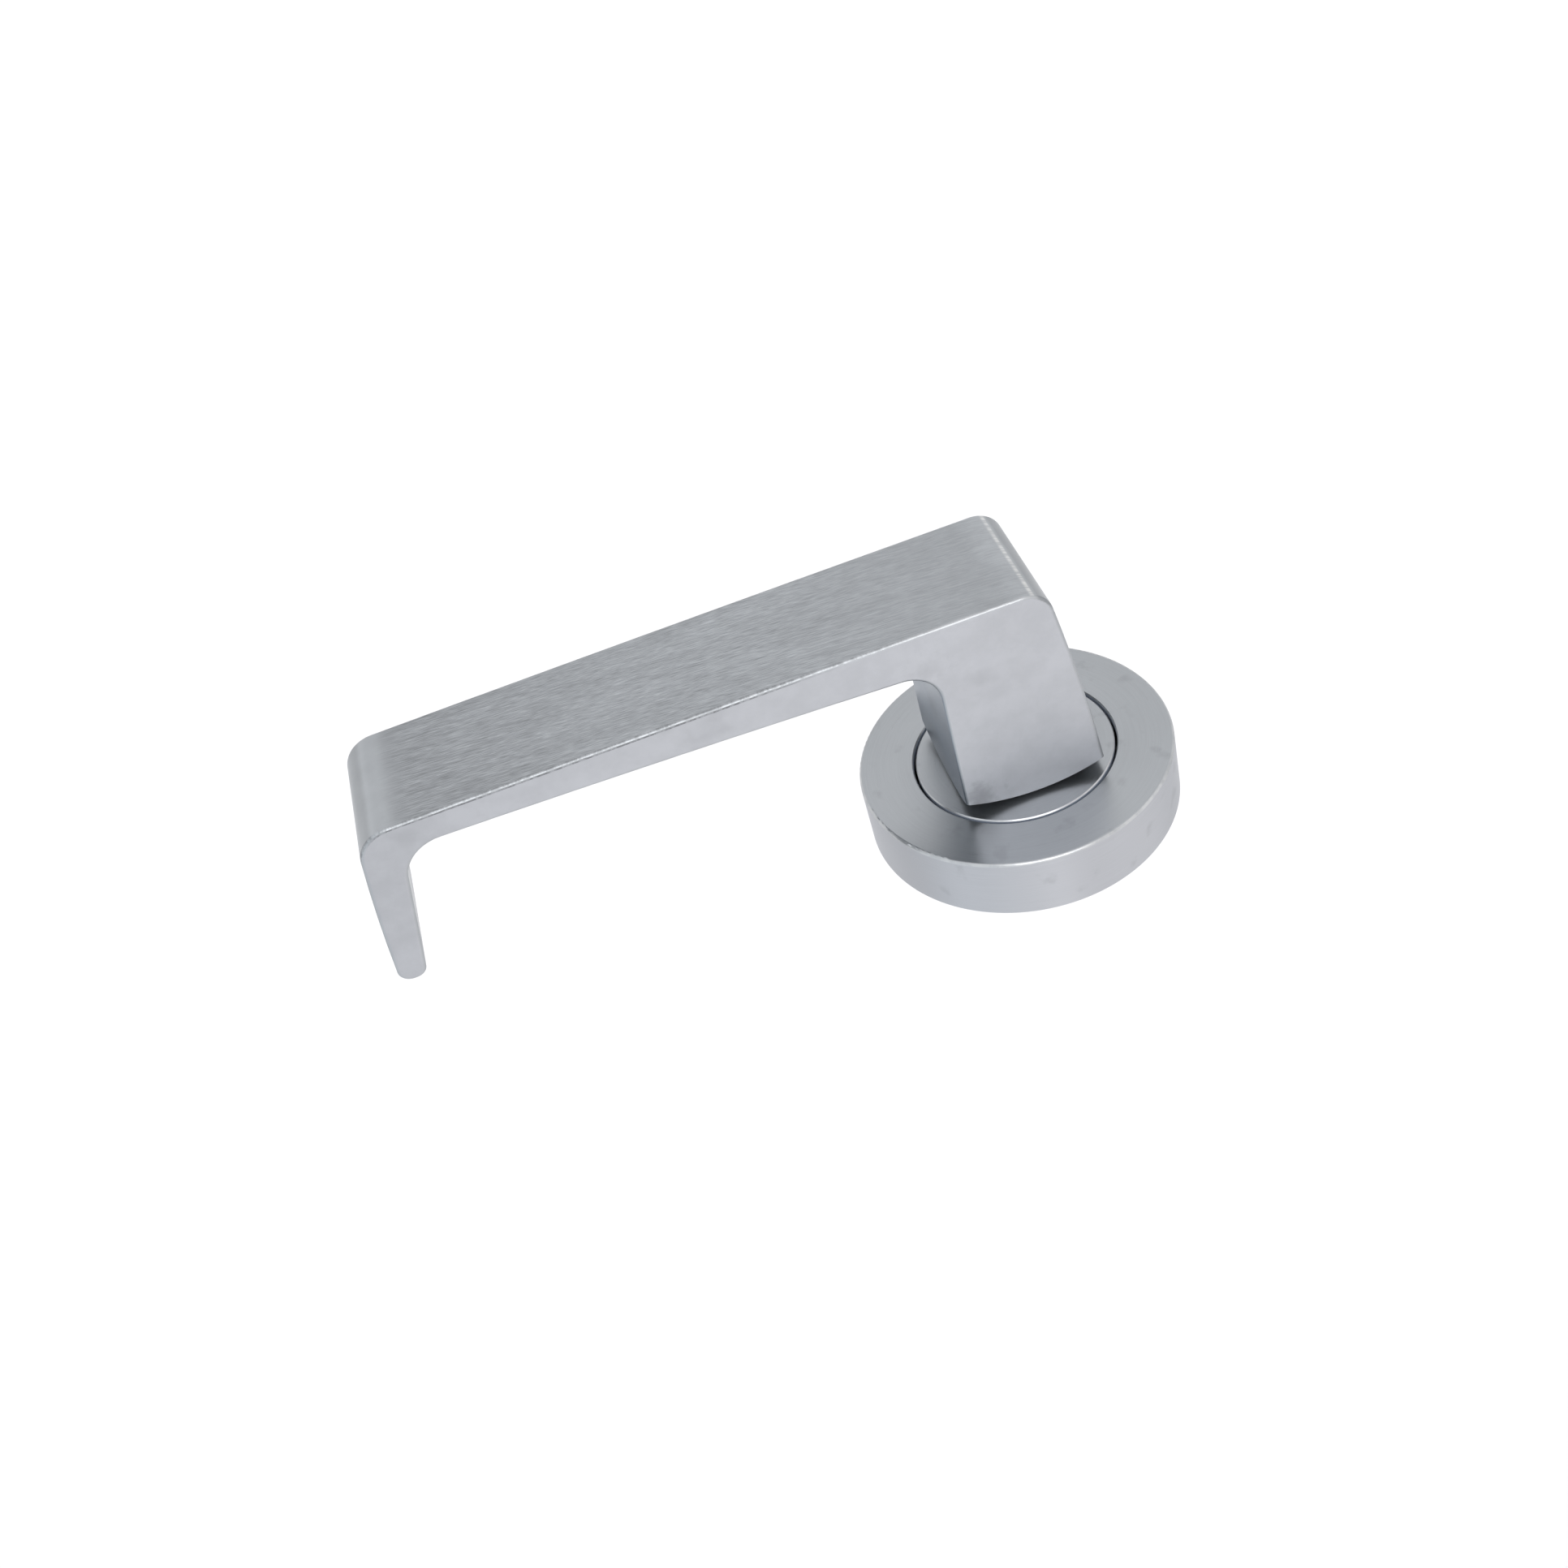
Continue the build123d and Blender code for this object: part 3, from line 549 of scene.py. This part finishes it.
def black_steel():
    """Black oxide on steel: dark satin, rubbed bright in small spots."""
    f = Finish("black_oxide_steel", 1.0, 0.40)
    rubbed = f.spots(0.7, 4.0, 0.65)
    f.colour(f.tint(BLACK_STEEL, RUBBED_STEEL, f.ramp(rubbed, 0.56, 0.72, 0.0, 0.7)))
    f.uneven_roughness(rubbed, 0.5, 0.32)
    f.bump(rubbed, 0.008 * MM)
    return f.material


# ------------------------------------------------------------------ return spring

# Turns, angle of both ends, wire, and the straight legs into the plate and the hub with the
# bends that join them to the coil
SPRING_TURNS = 2.0
SPRING_START = -90.0
SPRING_STEPS = 192
WIRE_RADIUS = 0.7 * MM
WIRE_SIDES = 20
SPRING_LEG_IN_PLATE = 1.4 * MM
PLATE_TO_COIL = 0.85 * MM
HUB_LEG = 2.05 * MM
LEG_BEND = 0.9 * MM
LEG_BEND_STEPS = 8
BEND_TRIM = 2


def spring_path():
    """Centreline of the return spring from its plate end to its hub end, and the coil's ends in y."""
    low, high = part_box("return_spring")
    mean_radius = high.x - WIRE_RADIUS
    leg_spare = SPRING_LEG_IN_PLATE + PLATE_TO_COIL
    coil_from, coil_to = high.y - leg_spare, low.y + HUB_LEG

    def at(turn, y):
        angle = math.radians(SPRING_START - 360 * turn)
        return Vector((mean_radius * math.cos(angle), y, mean_radius * math.sin(angle)))

    coil = [
        at(SPRING_TURNS * step / SPRING_STEPS, coil_from + (coil_to - coil_from) * step / SPRING_STEPS)
        for step in range(SPRING_STEPS + 1)
    ]
    plate_end, hub_end = at(0, high.y), at(SPRING_TURNS, low.y)
    start = bend(coil[0] + Vector((0, LEG_BEND, 0)), coil[0], coil[BEND_TRIM])
    finish = bend(coil[-1 - BEND_TRIM], coil[-1], coil[-1] - Vector((0, LEG_BEND, 0)))
    return [plate_end, *start, *coil[BEND_TRIM + 1:-1 - BEND_TRIM], *finish, hub_end], coil_from, coil_to


def bend(start, corner, end):
    """Points of a smooth bend from start to end that rounds off the corner."""
    shares = [step / LEG_BEND_STEPS for step in range(LEG_BEND_STEPS + 1)]
    return [start * (1 - t) ** 2 + corner * 2 * t * (1 - t) + end * t**2 for t in shares]


def add_object(name, data):
    """A new object in the scene, made of a mesh, a light or a camera."""
    made = bpy.data.objects.new(name, data)
    bpy.context.scene.collection.objects.link(made)
    return made


def finished_mesh(name, form):
    """The mesh of a bmesh, which is then freed."""
    mesh = bpy.data.meshes.new(name)
    form.to_mesh(mesh)
    form.free()
    return mesh


def wire(name, path, radius):
    """A closed round wire along a path."""
    form = bmesh.new()
    hoops = []
    angles = [2 * math.pi * step / WIRE_SIDES for step in range(WIRE_SIDES)]
    side = Vector((1.0, 0.0, 0.0))
    for place, point in enumerate(path):
        ahead = path[min(place + 1, len(path) - 1)] - path[max(place - 1, 0)]
        ahead.normalize()
        side = (side - ahead * side.dot(ahead)).normalized()
        across = ahead.cross(side)
        hoops.append([
            form.verts.new(point + (side * math.cos(angle) + across * math.sin(angle)) * radius)
            for angle in angles
        ])
    for hoop, following in zip(hoops, hoops[1:]):
        for step in range(WIRE_SIDES):
            after = (step + 1) % WIRE_SIDES
            form.faces.new((hoop[step], hoop[after], following[after], following[step]))
    form.faces.new(reversed(hoops[0]))
    form.faces.new(hoops[-1])
    for face in form.faces:
        face.smooth = len(face.verts) == 4
    return add_object(name, finished_mesh(name, form))


def add_return_spring(finish):
    """The return spring as a round wire along its path, in place of the CAD spring, which is hidden."""
    path, coil_from, coil_to = spring_path()
    coil = wire("return_spring_coil", path, WIRE_RADIUS)
    coil.data.materials.append(finish)
    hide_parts("return_spring")
    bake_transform(coil)


# ------------------------------------------------------------------ scene

def add_camera():
    """The camera at the photograph's viewing angle."""
    camera = add_object("camera", bpy.data.cameras.new("camera"))
    camera.data.lens = CAMERA_LENS
    camera.data.sensor_width = CAMERA_SENSOR
    camera.data.clip_start = CAMERA_NEAREST
    camera.data.clip_end = CAMERA_FARTHEST
    camera.location = CAMERA_PLACE
    camera.rotation_mode = "QUATERNION"
    aim = (CAMERA_AIM - CAMERA_PLACE).to_track_quat("-Z", "Y")
    camera.rotation_quaternion = aim @ Quaternion((0, 0, 1), math.radians(CAMERA_ROLL))
    bpy.context.scene.camera = camera


def add_floor():
    """A plain pale floor some way under the handle."""
    form = bmesh.new()
    bmesh.ops.create_grid(form, x_segments=1, y_segments=1, size=FLOOR_SIZE / 2)
    floor = add_object("floor", finished_mesh("floor", form))
    floor.location.z = cad_low.z - FLOOR_DROP
    f = Finish("pale_floor", 0.0, FLOOR_ROUGHNESS)
    f.colour((*FLOOR_COLOUR, 1.0))
    f.surface.inputs["Specular IOR Level"].default_value = FLOOR_GLOSS
    floor.data.materials.append(f.material)


def add_softbox(name, place, size, power):
    """A square soft light that faces the handle."""
    light = bpy.data.lights.new(name, "AREA")
    light.shape = "SQUARE"
    light.size = size
    light.energy = power
    lamp = add_object(name, light)
    middle = (cad_low + cad_high) / 2
    lamp.location = place
    lamp.rotation_mode = "QUATERNION"
    lamp.rotation_quaternion = (middle - Vector(place)).to_track_quat("-Z", "Y")


def add_sky():
    """Even white surroundings that turn a little cooler towards +X, the way the lever points."""
    world = bpy.data.worlds.new("studio")
    world.use_nodes = True
    bpy.context.scene.world = world
    tree = world.node_tree
    direction = tree.nodes.new("ShaderNodeTexCoord")
    parts = tree.nodes.new("ShaderNodeSeparateXYZ")
    tree.links.new(direction.outputs["Generated"], parts.inputs[0])
    blend = tree.nodes.new("ShaderNodeMapRange")
    blend.interpolation_type = "SMOOTHSTEP"
    blend.inputs["From Min"].default_value = SKY_BLEND[0]
    blend.inputs["From Max"].default_value = SKY_BLEND[1]
    tree.links.new(parts.outputs[0], blend.inputs["Value"])
    mixed = tree.nodes.new("ShaderNodeMix")
    mixed.data_type = "RGBA"
    mixed.inputs[MIX_START].default_value = (*SKY_COLOUR, 1.0)
    mixed.inputs[MIX_COLOUR].default_value = (*COOL_SKY_COLOUR, 1.0)
    tree.links.new(blend.outputs["Result"], mixed.inputs[MIX_SHARE])
    background = tree.nodes["Background"]
    tree.links.new(mixed.outputs[MIX_RESULT], background.inputs["Color"])
    background.inputs["Strength"].default_value = SKY_STRENGTH


zinc = cast_zinc()
plate = plated_steel()
spring = spring_steel()
nylon = moulded_nylon()
FINISHES = {
    "lever_handle": lever_chrome(),
    "rose_cover": turned_chrome("rose_satin_chrome", ROSE_RADIUS),
    "centre_disc": turned_chrome("disc_satin_chrome", DISC_RADIUS),
    "mounting_plate": zinc,
    "drive_hub": zinc,
    "fixing_posts": plate,
    "housing_lid": plate,
    "lid_screws": plate,
    "spindle": plate,
    "snap_ring": spring,
    "hub_washer": spring,
    "return_spring": spring,
    "spring_washer": spring,
    "circlip": spring,
    "rear_bush": nylon,
    "front_bush": nylon,
    "stop_buffers": moulded_rubber("black_buffer_rubber", RUBBER),
    # Rubber ring whose grey partly stands in for the shade in the gap round the disc
    "disc_ring": moulded_rubber("disc_ring_rubber_and_shade", DISC_RING_RUBBER_AND_SHADE),
    "back_gasket": gasket_foam(),
    "grub_screw": black_steel(),
}
for name, finish in FINISHES.items():
    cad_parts[name].material_slots[0].material = finish

add_return_spring(spring)

add_camera()
add_floor()
add_sky()
add_softbox("key_softbox", KEY_PLACE, KEY_SIZE, KEY_POWER)
add_softbox("bar_softbox", BAR_LIGHT_PLACE, BAR_LIGHT_SIZE, BAR_LIGHT_POWER)
bpy.context.scene.view_settings.view_transform = "Standard"
